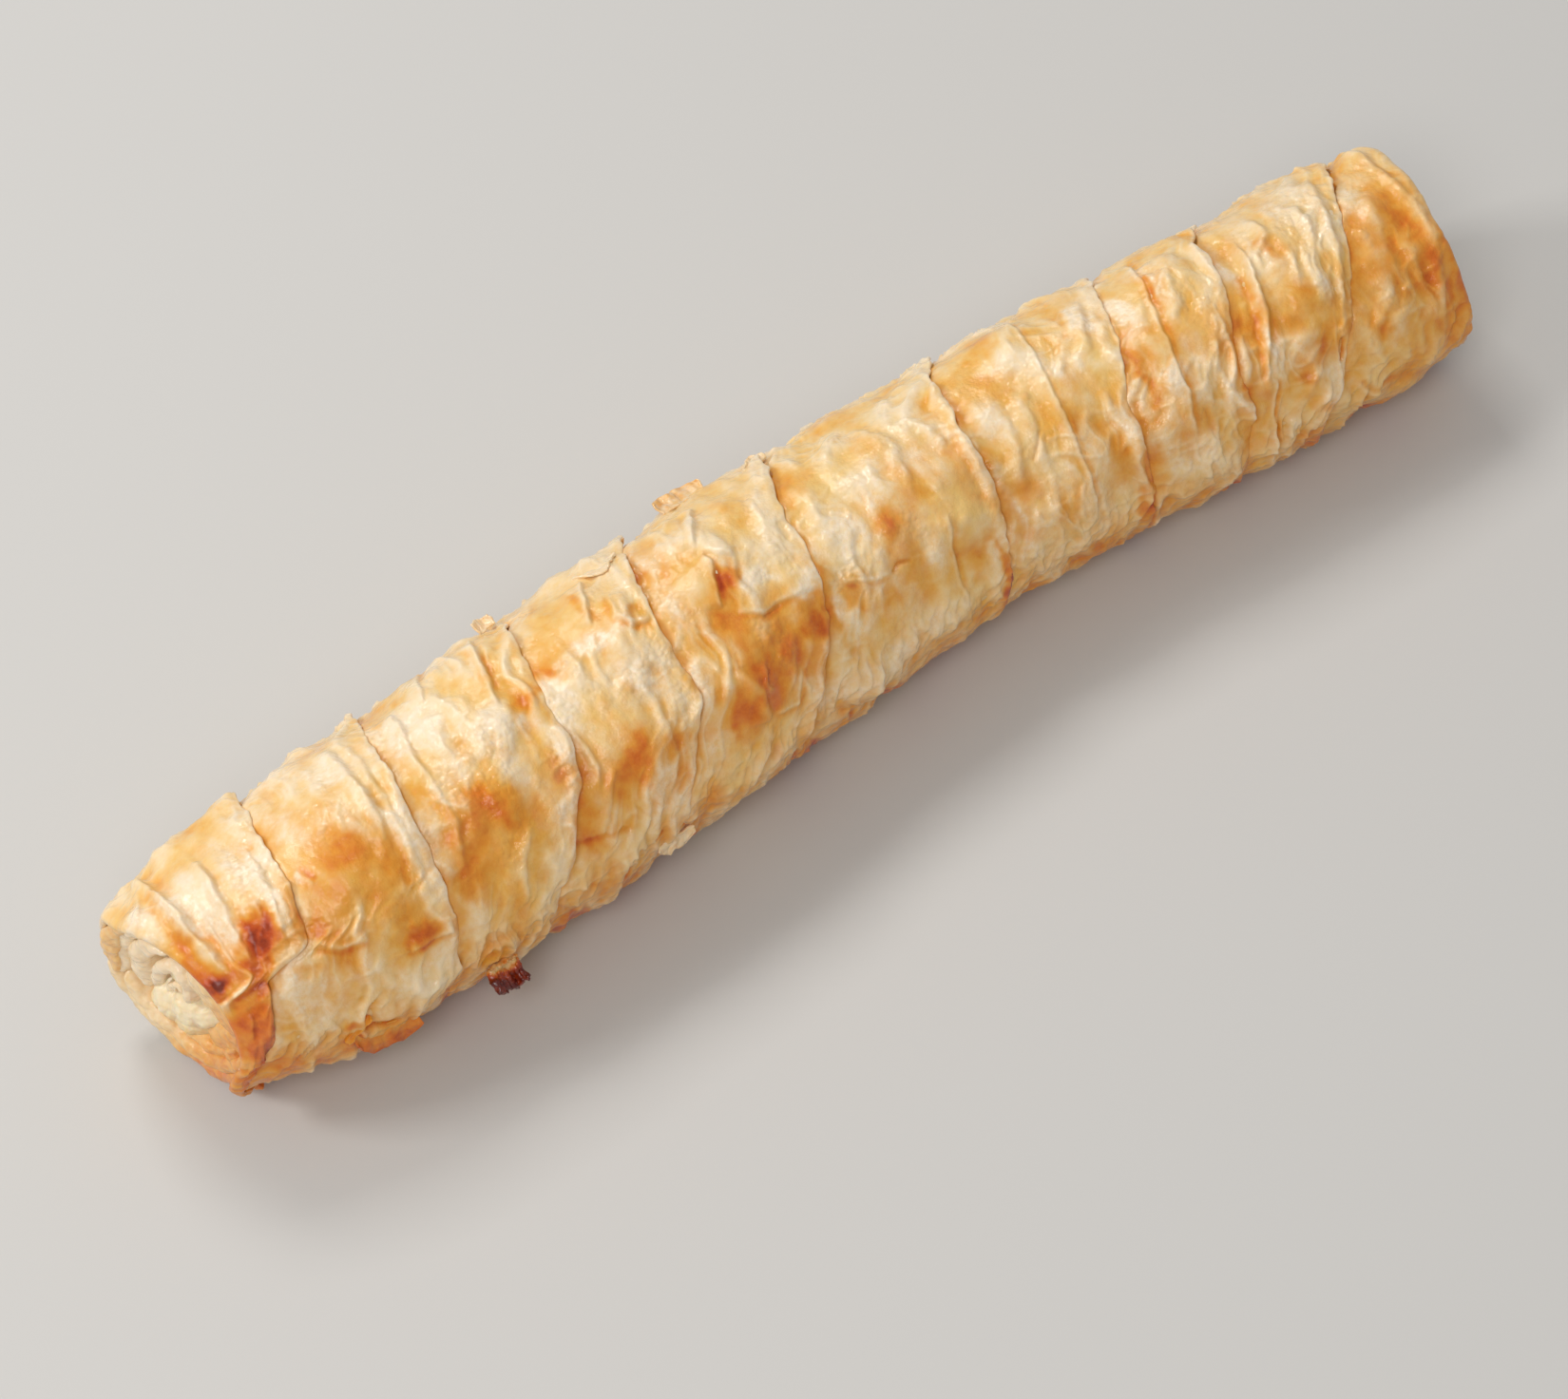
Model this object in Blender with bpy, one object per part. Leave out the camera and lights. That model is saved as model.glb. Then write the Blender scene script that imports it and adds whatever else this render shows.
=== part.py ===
"""A rolled borek: a strip of yufka dough wound in a helix round a rod of cheese filling.

Metres, +Z up. The roll lies along X, its open near end at -X, and rests on the flat that its
own weight baked into its underside. The origin is under the middle of its bounding box.
"""

import math

import bmesh
import bpy
from mathutils import Vector, noise

MM = 0.001

# The roll as a whole
LENGTH = 275 * MM
NEAR_RADIUS = 25.0 * MM
FAR_RADIUS = 22.3 * MM
TAPER_FROM, TAPER_TO = 95 * MM, 175 * MM
SINK = 0.94  # height of the centre line, as a share of the radius: the rest is the baked flat
NEAR_ROUNDING, NEAR_LOSS = 52 * MM, 6.8 * MM  # the near end narrows over this length, by this much
FAR_ROUNDING, FAR_LOSS = 36 * MM, 2.8 * MM
END_LIFT = 0.6  # the ends curl up from the tray by this share of what they narrow by
# How far the centre line lies to the +Y side, in mm, at even steps along the roll
BOW = (1.8, -0.4, 0.8, 3.4, 3.4, -1.2, -5.4)

# Where the free edge of the wound strip lies, in mm from the near end: each pair is one turn,
# first on the back shoulder and then at the foot of the front. Turns run from the far end.
TURN_EDGES = [
    (330, 316), (301, 287), (269, 238), (240, 225), (216, 202), (183, 170), (143, 122),
    (114, 95), (88, 64), (54, 46), (30, 18), (7, 4), (-16, -25), (-45, -55),
]
BACK_ANGLE, FRONT_ANGLE, FULL_TURN = -40.0, 100.0, 360.0  # degrees from the top towards -Y

# The strip's section across one turn
STEP_UP = 1.5 * MM  # how far the free edge stands above the turn that it laps
STEP_RUN = 0.25 * MM  # the edge comes down over this length
PLEAT_UP, PLEAT_ROW = 1.1 * MM, 5  # a soft fold that comes and goes along the middle of the strip
PLEAT_EVERY = 430.0  # degrees of winding
LUMP_HEIGHT, LUMP_LENGTH = 1.0 * MM, 11 * MM

# The filling and the tunnel that holds it
FILLING_RADIUS = 14.8 * MM
FILLING_LUMP = 0.9 * MM
RECESS = 0.8 * MM  # the filling's edge lies this far inside each end
END_DOME = 1.6 * MM  # and its middle stands out again by this much
GAP = 0.3 * MM

AROUND = 30  # faces round the strip's turn
ACROSS = 9  # faces across the strip
FILLING_AROUND, FILLING_ALONG = 18, 30

PASTRY_COLOUR = (0.83, 0.56, 0.27, 1.0)
FILLING_COLOUR = (0.86, 0.78, 0.56, 1.0)


def smooth(x, low, high):
    """0 below low, 1 above high, and an even rise between them."""
    t = min(1.0, max(0.0, (x - low) / (high - low)))
    return t * t * (3 - 2 * t)


def rounding(distance, length):
    """1 at the very end of the roll, easing off to 0 at length from it."""
    return max(0.0, 1 - distance / length) ** 2


def end_loss(s):
    near = NEAR_LOSS * rounding(s, NEAR_ROUNDING)
    return near + FAR_LOSS * rounding(LENGTH - s, FAR_ROUNDING)


def radius(s):
    body = NEAR_RADIUS + (FAR_RADIUS - NEAR_RADIUS) * smooth(s, TAPER_FROM, TAPER_TO)
    return body - end_loss(s)


def through(values, x):
    """A smooth curve through the values, which lie at x = 0, 1, 2 and so on."""
    i = min(max(int(x), 0), len(values) - 2)
    t = x - i
    start, end = values[i], values[i + 1]
    slope_in = (end - values[i - 1]) / 2 if i else end - start
    slope_out = (values[i + 2] - start) / 2 if i + 2 < len(values) else end - start
    return (
        (2 * t**3 - 3 * t**2 + 1) * start
        + (t**3 - 2 * t**2 + t) * slope_in
        + (3 * t**2 - 2 * t**3) * end
        + (t**3 - t**2) * slope_out
    )


def centre(s):
    """The centre line's (y, z) there."""
    y = through(BOW, s / LENGTH * (len(BOW) - 1)) * MM
    return y, SINK * radius(s) + END_LIFT * end_loss(s)


def edge_place(angle):
    """Where the strip's free edge is, along the roll, after that much of its winding."""
    turn, rest = divmod(angle - BACK_ANGLE, FULL_TURN)
    front = FRONT_ANGLE - BACK_ANGLE
    if rest < front:
        step = rest / front
    else:
        step = 1 + (rest - front) / (FULL_TURN - front)
    places = [place for pair in TURN_EDGES for place in pair]
    return through(places, 2 * turn + step) * MM


def on_the_roll(s, angle, lift):
    """The point at that place and angle, standing lift above the plain round body."""
    a = math.radians(angle)
    r = radius(s) + lift
    y, z = centre(s)
    return Vector((s - LENGTH / 2, y - r * math.sin(a), max(0.0, z + r * math.cos(a))))


def lump(s, angle, scale):
    a = math.radians(angle)
    around = NEAR_RADIUS / scale
    return noise.noise(Vector((s / scale, around * math.cos(a), around * math.sin(a))))


def strip_point(angle, across):
    """A point of the wound strip: across is 0 where it comes out from under the next turn."""
    low = edge_place(angle + FULL_TURN) + STEP_RUN
    high = edge_place(angle)
    row = across * ACROSS
    s = low + (high - low) * min(1.0, row / (ACROSS - 1))
    lift = STEP_UP * (row / (ACROSS - 1)) ** 1.5
    if abs(row - PLEAT_ROW) < 0.5:
        lift += PLEAT_UP * math.sin(math.pi * angle / PLEAT_EVERY) ** 2
    if row > ACROSS - 0.5:  # the foot of the step, which is where the turn that it laps begins
        s = high + STEP_RUN
        lift = 0.0
    return on_the_roll(s, angle, lift + LUMP_HEIGHT * lump(s, angle, LUMP_LENGTH))


def close_ends(bm, low, high):
    """Cuts the shape square at both ends and fills the two loops."""
    for place, outwards in ((low, -1), (high, 1)):
        everything = bm.verts[:] + bm.edges[:] + bm.faces[:]
        cut = bmesh.ops.bisect_plane(
            bm, geom=everything, plane_co=(place, 0, 0), plane_no=(outwards, 0, 0),
            dist=1e-6, clear_outer=True,
        )
        rim = [e for e in cut["geom_cut"] if isinstance(e, bmesh.types.BMEdge)]
        bmesh.ops.contextual_create(bm, geom=rim)


def finished(name, bm, material, collection):
    bm.normal_update()
    bmesh.ops.recalc_face_normals(bm, faces=bm.faces)
    mesh = bpy.data.meshes.new(name)
    bm.to_mesh(mesh)
    bm.free()
    if material:
        mesh.materials.append(material)
    obj = bpy.data.objects.new(name, mesh)
    collection.objects.link(obj)
    return obj


def wound_strip(material, collection):
    """The dough: one strip, wound from the far end to the near one, each turn's edge on the next."""
    turns = len(TURN_EDGES) - 2
    bm = bmesh.new()
    bmesh.ops.create_grid(bm, x_segments=turns * AROUND, y_segments=ACROSS, size=0.5)
    for v in bm.verts:
        angle = BACK_ANGLE + (v.co.x + 0.5) * turns * FULL_TURN
        v.co = strip_point(angle, v.co.y + 0.5)
    bmesh.ops.remove_doubles(bm, verts=bm.verts, dist=0.01 * MM)
    close_ends(bm, -LENGTH / 2, LENGTH / 2)
    return finished("pastry_roll", bm, material, collection)


def filling_rod(name, wider, recess, dome, material, collection):
    """The rod of filling. The cutter for its tunnel is the same rod, a little wider and longer."""
    bm = bmesh.new()
    bmesh.ops.create_cone(
        bm, cap_ends=True, cap_tris=True, segments=FILLING_AROUND,
        radius1=1, radius2=1, depth=1,
    )
    long_edges = [e for e in bm.edges if abs(e.verts[0].co.z - e.verts[1].co.z) > 0.5]
    bmesh.ops.subdivide_edges(bm, edges=long_edges, cuts=FILLING_ALONG - 1)
    for v in bm.verts:
        share, out = v.co.z + 0.5, math.hypot(v.co.x, v.co.y)
        end = (share > 0.999) - (share < 0.001)
        angle = math.degrees(math.atan2(v.co.y, v.co.x))
        s = share * LENGTH - end * (recess - dome * (1 - out))
        r = FILLING_RADIUS + FILLING_LUMP * lump(s, angle, 2 * LUMP_LENGTH) + wider
        a = math.radians(angle)
        v.co = Vector((s - LENGTH / 2, *centre(s)))
        v.co += out * r * Vector((0, -math.sin(a), math.cos(a)))
    return finished(name, bm, material, collection)


def plain_material(name, colour, roughness):
    material = bpy.data.materials.new(name)
    material.use_nodes = True
    shader = material.node_tree.nodes["Principled BSDF"]
    shader.inputs["Base Color"].default_value = colour
    shader.inputs["Roughness"].default_value = roughness
    material.diffuse_color = colour
    return material


def subtract(obj, cutter):
    cut = obj.modifiers.new("tunnel", "BOOLEAN")
    cut.operation = "DIFFERENCE"
    cut.solver = "EXACT"
    cut.object = cutter


def centre_on_origin(objects):
    """Moves the meshes so that the middle of the roll's box is over the origin."""
    corners = [v.co for obj in objects if not obj.hide_render for v in obj.data.vertices]
    for axis in (0, 1):
        middle = (min(c[axis] for c in corners) + max(c[axis] for c in corners)) / 2
        for obj in objects:
            for v in obj.data.vertices:
                v.co[axis] -= middle


def main():
    for obj in list(bpy.data.objects):
        bpy.data.objects.remove(obj)
    borek = bpy.data.collections.new("rolled_borek")
    cutters = bpy.data.collections.new("cutters")
    for collection in (borek, cutters):
        bpy.context.scene.collection.children.link(collection)

    pastry = wound_strip(plain_material("baked_yufka", PASTRY_COLOUR, 0.5), borek)
    filling = filling_rod(
        "cheese_filling", 0.0, RECESS, END_DOME,
        plain_material("white_cheese", FILLING_COLOUR, 0.6), borek,
    )
    tunnel = filling_rod("tunnel_cutter", GAP, -GAP, 0.0, None, cutters)
    tunnel.hide_render = True
    tunnel.display_type = "WIRE"
    subtract(pastry, tunnel)
    centre_on_origin([pastry, filling, tunnel])


main()
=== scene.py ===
"""A rolled borek: thin yufka dough wound in a slanting helix round white cheese, baked golden."""

import math

import bpy
import numpy as np
from mathutils import Matrix, Vector


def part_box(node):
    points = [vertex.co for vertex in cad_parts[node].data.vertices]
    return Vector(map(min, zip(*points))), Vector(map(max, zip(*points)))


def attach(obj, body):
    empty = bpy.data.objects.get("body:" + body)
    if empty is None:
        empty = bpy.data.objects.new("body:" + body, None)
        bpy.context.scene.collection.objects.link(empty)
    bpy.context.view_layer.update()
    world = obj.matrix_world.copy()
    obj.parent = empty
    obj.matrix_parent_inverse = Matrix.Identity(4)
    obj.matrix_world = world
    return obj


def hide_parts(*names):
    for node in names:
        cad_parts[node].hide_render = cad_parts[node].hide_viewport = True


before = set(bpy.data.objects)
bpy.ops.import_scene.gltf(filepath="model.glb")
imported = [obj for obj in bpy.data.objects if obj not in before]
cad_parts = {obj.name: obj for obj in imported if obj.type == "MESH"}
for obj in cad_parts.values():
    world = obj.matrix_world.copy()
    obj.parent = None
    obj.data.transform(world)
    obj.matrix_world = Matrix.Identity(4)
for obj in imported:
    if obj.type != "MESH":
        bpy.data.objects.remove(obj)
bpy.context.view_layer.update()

# ------------------------------------------------------------
# The wound yufka: one strip of paper-thin dough, oiled and wound round the filling so that each
# turn laps the next. Its free edges dried and curled, and its bubbles and folds browned.
# Here s runs along the roll in mm from its near end, and an angle is 0 on top and 90 in front, at -Y.

MM = 0.001
roll_low, roll_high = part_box("pastry_roll")
LENGTH = (roll_high.x - roll_low.x) / MM

NEAR_RADIUS, FAR_RADIUS = 24.9, 22.2
TAPER_FROM, TAPER_TO = 95.0, 175.0
SINK = 0.94  # height of the centre line, as a share of the radius
NEAR_ROUNDING, NEAR_LOSS = 52.0, 6.4  # over how much length each end narrows, and by how much
FAR_ROUNDING, FAR_LOSS = 36.0, 2.8
END_LIFT = 0.6  # how much of that the middle of the end rises
FAR_REACH, FAR_REACH_AT = 4.2, -36.0  # the far rim reaches further at the back of its top
BOW = (1.8, -0.4, 0.8, 3.4, 3.4, -1.2, -5.4)  # how far the roll bends to the back, end to end
MEAN_RADIUS = 24.0
ARC = math.radians(MEAN_RADIUS)  # mm round the roll for each degree

# The free edge of each turn as (angle, s), from the back shoulder to the foot of the front
EDGES = [
    [(-60, 31), (-42, 30), (-21, 28.6), (0, 26.8), (16, 26), (31, 24.3), (43, 22.6), (45, 14.5),
     (60, 12.8), (74, 11), (91, 7.6), (98, 5.6)],
    [(-60, 57), (-20, 53.2), (4, 51.6), (22, 50.2), (41, 49.6), (62, 47.8), (95, 45)],
    [(-47, 88.4), (-26, 86.2), (-7, 83.8), (8, 82.2), (30, 81.4), (44, 79.6), (59, 74.2), (95, 65)],
    [(-60, 117), (-18, 110), (-4, 108.6), (11, 106.9), (44, 105.8), (56, 103), (72, 98.8), (88, 95.2)],
    [(-56, 146.8), (-30, 144.2), (-14, 141.4), (2, 139), (16, 138.6), (34, 137), (49, 135.2), (62, 131.6),
     (74, 128.4), (95, 123)],
    [(-60, 186), (-35, 181), (-15, 178), (14, 175.4), (40, 174.6), (56, 173.8), (78, 171.8),
     (112, 169.6)],
    [(-60, 219.5), (-44, 217.6), (-8, 212.4), (14, 209.2), (34, 205.6), (50, 203.6), (86, 203.4),
     (110, 203)],
    [(-60, 243), (-20, 235.2), (5, 232.8), (26, 229.2), (50, 226), (74, 225.2), (95, 223)],
    [(-50, 270), (-12, 263.2), (12, 258.4), (31, 254.4), (52, 249.8), (70, 245.6), (95, 240)],
]
TURNS = len(EDGES) + 1
# The rim of the near end, which the collar's folded hem goes round
OPENING = [(-180, 9), (-135, 8), (-108, 6), (-96, 3), (-86, 0), (-60, -0.5), (-18, 0.2), (0, 2.4),
           (15, 4), (33, 5), (56, 6.1), (78, 5.1), (97, 3), (108, 1.8), (122, 2.2), (132, 7), (145, 9),
           (180, 9)]
TUCK = 6.0  # how far each turn goes in under the one that laps it
LEAF = 0.7  # thickness of a free edge, which is folded over
HEM = 1.8  # thickness of the rolled hems at both ends
STEP_UP = 1.1  # how far a free edge stands above the turn that it laps
PILLOW = 0.85  # and how far each turn swells between its edges

# Lines on each turn, as [(angle, s), ...], height and width.
# Torn edges stand up on their near side and drop sharply on the other.
TEARS = {
    1: [([(44, 14), (45, 11.6), (46, 7.6)], 0.45, 2.4)],
    2: [([(12, 28.4), (22, 29.6)], 0.35, 1.6), ([(52, 33), (50, 28.2), (46, 25.8), (42, 23.8)], 0.45, 3),
        ([(60, 47.4), (68, 46.4), (66, 42), (66, 38.2), (60, 39)], 0.55, 3)],
    3: [([(-45, 80.8), (-16, 77), (4, 74.6)], 0.9, 5), ([(-50, 70), (-26, 66.5), (-18, 64)], 0.6, 4)],
    4: [([(-30, 102), (-15, 99.6), (-4, 97)], 0.8, 3.5),
        ([(8, 107), (6, 103.2), (-1, 101), (-14, 103.6)], 0.6, 2.5)],
    5: [([(-34, 127.4), (-15, 123.8), (-6, 120.6)], 0.8, 4), ([(6, 126), (-4, 121)], 0.6, 3),
        ([(-4, 121), (3, 121.6), (14, 119), (22, 117.8)], 0.7, 5),
        ([(36, 136.4), (34, 133), (32, 128), (33, 124.8), (25, 119.8)], 0.25, 3),
        ([(60, 125.6), (75, 122.6), (71, 116.8)], 0.35, 4)],
    6: [([(48, 149.4), (47, 145.6), (40, 140.8)], 0.45, 3),
        ([(39, 164.4), (54, 161.8), (81, 161)], 0.6, 4)],
    7: [([(-40, 199), (0, 195.6), (40, 192), (84, 190)], 0.55, 4)],
    8: [([(-45, 225), (0, 219.6), (40, 215), (70, 213)], 0.6, 4.5)],
    9: [([(56, 232), (76, 229), (104, 227)], 0.6, 3)],
    10: [([(82, 247), (94, 250), (96, 255)], 0.5, 3)],
}
# Soft folds, which stand up as round crests
CRESTS = {
    1: [([(-70, 7.2), (-27, 7.8), (16, 8.2), (28, 8.7), (42, 11)], 1.1, 1),
        ([(-40, 6.6), (-22, 4), (-10, 0.5)], 0.6, 0.8),
        ([(-34, 16.6), (-4, 15.6), (17, 14.4), (44, 13)], 0.7, 0.9),
        ([(2, 12), (24, 10.8), (42, 11.8)], 0.4, 0.7), ([(50, 9), (72, 7.4), (92, 4)], 0.5, 0.9),
        ([(-20, 24.8), (10, 23.2), (38, 19.6)], 0.45, 1)],
    2: [([(-34, 46.4), (2, 45.4), (20, 44), (36, 43.4)], 0.8, 1.2),
        ([(-30, 50), (0, 48.4), (30, 46.6), (56, 45)], 0.45, 0.8),
        ([(70, 30), (84, 38), (88, 46)], 0.5, 1.4)],
    3: [([(-40, 60.5), (0, 57), (30, 55.6), (62, 52)], 0.55, 0.9),
        ([(46, 67), (60, 63), (80, 60)], 0.5, 0.9)],
    4: [([(24, 82.6), (45, 82.8), (54, 81.2)], 0.5, 0.7), ([(46, 86.4), (62, 80.8), (74, 77)], 0.5, 0.8),
        ([(34, 98), (60, 96.4), (74, 92)], 0.4, 0.9)],
    5: [([(40, 113), (58, 116.4), (70, 115.4), (66, 110.4)], 0.7, 1),
        ([(48, 119), (56, 117.6), (62, 118.6)], 0.7, 0.6), ([(42, 128), (60, 124), (70, 119)], 0.4, 1)],
    6: [([(-30, 160), (0, 163.6), (20, 161), (30, 160)], 0.4, 1.2)],
    7: [([(-28, 211), (-4, 206.2), (10, 203.6)], 0.6, 1),
        ([(8, 183.6), (28, 182.4), (52, 179)], 0.6, 1.4),
        ([(0, 188), (20, 187.6), (44, 185.4), (60, 184)], 0.35, 1)],
    8: [([(-30, 230), (-2, 224), (16, 223)], 0.5, 1.2),
        ([(20, 226.4), (44, 222.4), (76, 221.4)], 0.4, 0.8)],
    9: [([(-20, 241.6), (10, 238.2), (28, 235.8), (50, 231), (68, 228.6)], 1.1, 0.9),
        ([(-24, 247), (-4, 245.4), (2, 241.4), (14, 239.4)], 0.7, 1),
        ([(-16, 255), (-3, 253.8), (14, 251.6)], 0.6, 0.9),
        ([(-30, 262), (16, 255), (34, 251.4), (54, 246.4)], 0.8, 0.9),
        ([(70, 242), (86, 236), (96, 234)], 0.5, 1)],
    10: [([(-60, 274), (19, 273.6), (42, 271.4), (69, 267.4), (104, 266)], 0.7, 1.3),
         ([(-10, 268), (30, 262), (60, 258)], 0.4, 2)],
}
# Grooves and slits
SLITS = {
    1: [([(-60, 9.6), (-10, 10.2), (30, 10.2), (42, 12.2)], 0.5, 1.1),
        ([(-20, 17.6), (20, 16.4), (42, 15)], 0.35, 0.8)],
    2: [([(91, 25.2), (96, 29), (101, 32.6)], 1.5, 0.7), ([(99, 56), (100, 58)], 1.2, 0.6)],
    4: [([(66, 71.4), (70, 76.8), (76, 84.6)], 0.5, 0.6), ([(90, 88), (90, 90)], 0.9, 0.4),
        ([(93, 93.4), (98, 96.4)], 1.2, 0.8)],
    5: [([(34, 123.6), (33, 125.8), (33, 127.8)], 0.5, 0.35)],
    6: [([(49, 149.2), (46, 151.6), (48, 154.6)], 0.6, 0.4)],
    7: [([(28, 187.8), (35, 185.4), (40, 183.8)], 0.35, 0.35)],
    8: [([(53, 217.2), (72, 216.8)], 0.3, 0.6)],
    9: [([(55, 247.2), (68, 244.6)], 1, 0.45), ([(0, 237.6), (24, 234), (60, 229)], 0.5, 0.8)],
    10: [([(60, 264), (90, 262)], 0.4, 1)],
}

# Round places on each turn, as s, angle, half length, half width in degrees, and how much.
# Bulges, where the dough stands off the filling, in mm
BULGES = {
    1: [(29, -52, 4.5, 13, 1.5), (5.5, 35, 1.1, 3, 0.7), (19, 28, 5, 13, 0.5), (3, -30, 4, 18, 0.7)],
    2: [(36, 12, 9, 22, 1.1), (28, 36, 5, 9, 0.7), (56, -55, 4, 12, 0.9), (39, 88, 7, 14, 0.9)],
    3: [(71, 10, 5, 12, 0.8), (63.5, 31, 5, 10, 0.6), (79, -50, 4, 9, 0.8)],
    4: [(92, 52, 4.5, 12, 0.8), (101, -50, 4, 12, 0.9), (103, -6, 3, 8, 0.5)],
    5: [(115, 52, 7, 18, 0.8), (145, -48, 3, 12, 0.9), (122, -48, 4, 9, 0.6), (129, 54, 4, 10, 0.5)],
    6: [(156, 28, 7, 14, 0.6), (168.5, 45, 4.5, 15, 0.9), (160, -48, 7, 14, 0.8), (138, 90, 6, 14, 0.7)],
    7: [(192, -22, 8, 18, 0.9), (186, 72, 7, 16, 0.7), (208, -46, 5, 12, 0.8), (189.2, 12, 1.7, 4, 0.45)],
    8: [(227, -12, 5, 16, 0.8), (214, 60, 5, 18, 0.6)],
    9: [(246, 28, 5, 12, 0.6), (266, -44, 5, 18, 1.5), (238, 78, 5, 14, 0.6)],
    10: [(264, 0, 5, 14, 0.8), (258, 76, 6, 14, 0.8), (274, -46, 6, 30, 1.2)],
}
# Where the oven caught it, or left it pale, as a share of the whole range of browning
BROWNED = {
    1: [(18.5, 27, 5, 13, 0.38), (21, 30, 2.6, 8, 0.18), (15.5, 36, 4, 8, 0.12), (7.2, 37, 3, 9, 0.5),
        (5.6, 28, 3, 10, 0.22), (9, 60, 4.5, 22, 0.34), (7, 84, 4, 16, 0.28), (6.2, -20, 1.2, 34, 0.16),
        (6, 12, 2.5, 12, 0.14), (25, -38, 4, 12, 0.1), (3, -36, 3, 12, 0.1), (11.5, 36, 3, 8, 0.14),
        (13, -4, 5, 24, -0.16), (22, -10, 5, 14, -0.08), (25, 30, 1.6, 14, 0.14)],
    2: [(27.5, 34, 3, 14, 0.1), (19, 49, 5, 7, 0.18), (37, 10, 8, 16, 0.2), (34, 24, 7, 14, 0.12),
        (42, 62, 4.2, 5, 0.28), (24.5, 87, 2.8, 4, 0.36), (24, 99, 1.6, 6, 0.3), (40, 82, 10, 14, -0.12),
        (22, 75, 6, 16, -0.08), (45, -18, 5, 12, -0.12), (33, 50, 7, 12, 0.08), (49, 10, 1.5, 20, 0.1)],
    3: [(61, 32, 5, 13, 0.24), (66, 38, 4, 9, 0.12), (55, 40, 2.5, 20, 0.14), (77.5, 35, 3, 10, 0.2),
        (80, 4, 3.5, 6, 0.26), (77.5, -20, 1.2, 24, 0.16), (72.5, 6, 2.6, 7, -0.2),
        (68, -10, 6, 14, -0.1), (69, 58, 6, 12, -0.06), (58, 5, 4, 14, -0.06)],
    4: [(86, 0, 2.2, 8, 0.22), (90, 53, 4.2, 13, 0.2), (104, 4, 3, 5, 0.28), (98, -16, 1.2, 12, 0.22),
        (92, -12, 3, 8, 0.08), (84, 18, 3, 14, -0.18), (96, 20, 8, 14, -0.06), (100, 55, 3, 20, 0.06),
        (94, 84, 9, 10, -0.08)],
    5: [(122, 12, 3.2, 12, 0.36), (119, 46, 7, 16, 0.15), (127, 44, 7, 16, 0.15), (123, 63, 9, 14, 0.17),
        (116, 27, 4, 8, 0.14), (132, 47, 2, 7, 0.18), (117.5, 55, 1.4, 12, 0.08), (127, 21, 4, 5, -0.22),
        (133, 32, 4, 4, -0.26), (110, -20, 3, 12, 0.12), (112, 64, 6, 12, 0.2), (131, 0, 5, 10, -0.08),
        (116, -30, 5, 10, 0.06)],
    6: [(153, 28, 5, 14, 0.2), (159, 6, 3.5, 10, 0.14), (146, 58, 5, 12, 0.1), (143, -12, 4, 12, 0.1),
        (138.5, 50, 1.6, 24, -0.14), (144, 25, 6, 14, -0.1), (165, 65, 2.5, 22, 0.18),
        (170.2, 82, 1.8, 22, 0.42), (157, -25, 2, 6, 0.16), (145, 86, 10, 12, -0.08),
        (168, 25, 4, 10, -0.1)],
    7: [(192, -28, 5.5, 11, 0.2), (205, -14, 2, 14, 0.16), (181, 22, 4, 16, -0.1), (198, 10, 4, 14, -0.1),
        (186, 66, 6, 14, 0.12), (201, 92, 1.6, 16, 0.24), (202, 55, 2, 14, 0.06), (190, 85, 4, 10, 0.08)],
    8: [(217, 8, 6, 8, 0.08), (209.5, 30, 1.4, 30, 0.18), (223, -12, 4, 10, 0.1), (216, 60, 6, 16, 0.05),
        (214, -16, 2, 14, -0.14), (226, 40, 2, 24, 0.1)],
    9: [(243, 4, 3, 12, 0.2), (236, 28, 2.2, 14, 0.12), (237.5, 64, 3, 6, 0.24), (239, 80, 3, 8, 0.16),
        (242, 54, 5, 9, 0.2), (250, -22, 5, 14, 0.08), (229, 84, 3, 14, 0.2), (249, 34, 2.6, 12, 0.06),
        (252, 28, 1.6, 16, 0.2), (256, 0, 1.6, 18, 0.2), (266, -44, 5, 14, 0.14), (238, 0, 2, 14, -0.12)],
    10: [(270, 20, 16, 190, 0.11), (265, 34, 9, 40, 0.09), (275, 60, 5, 50, 0.08),
         (255, 62, 3.6, 7, 0.16), (264, 54, 5, 5, 0.1), (270, 50, 2, 30, 0.1), (264, -8, 4, 12, -0.22),
         (268, 85, 3, 14, 0.1), (275, -6, 2, 14, 0.14)],
}
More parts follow.
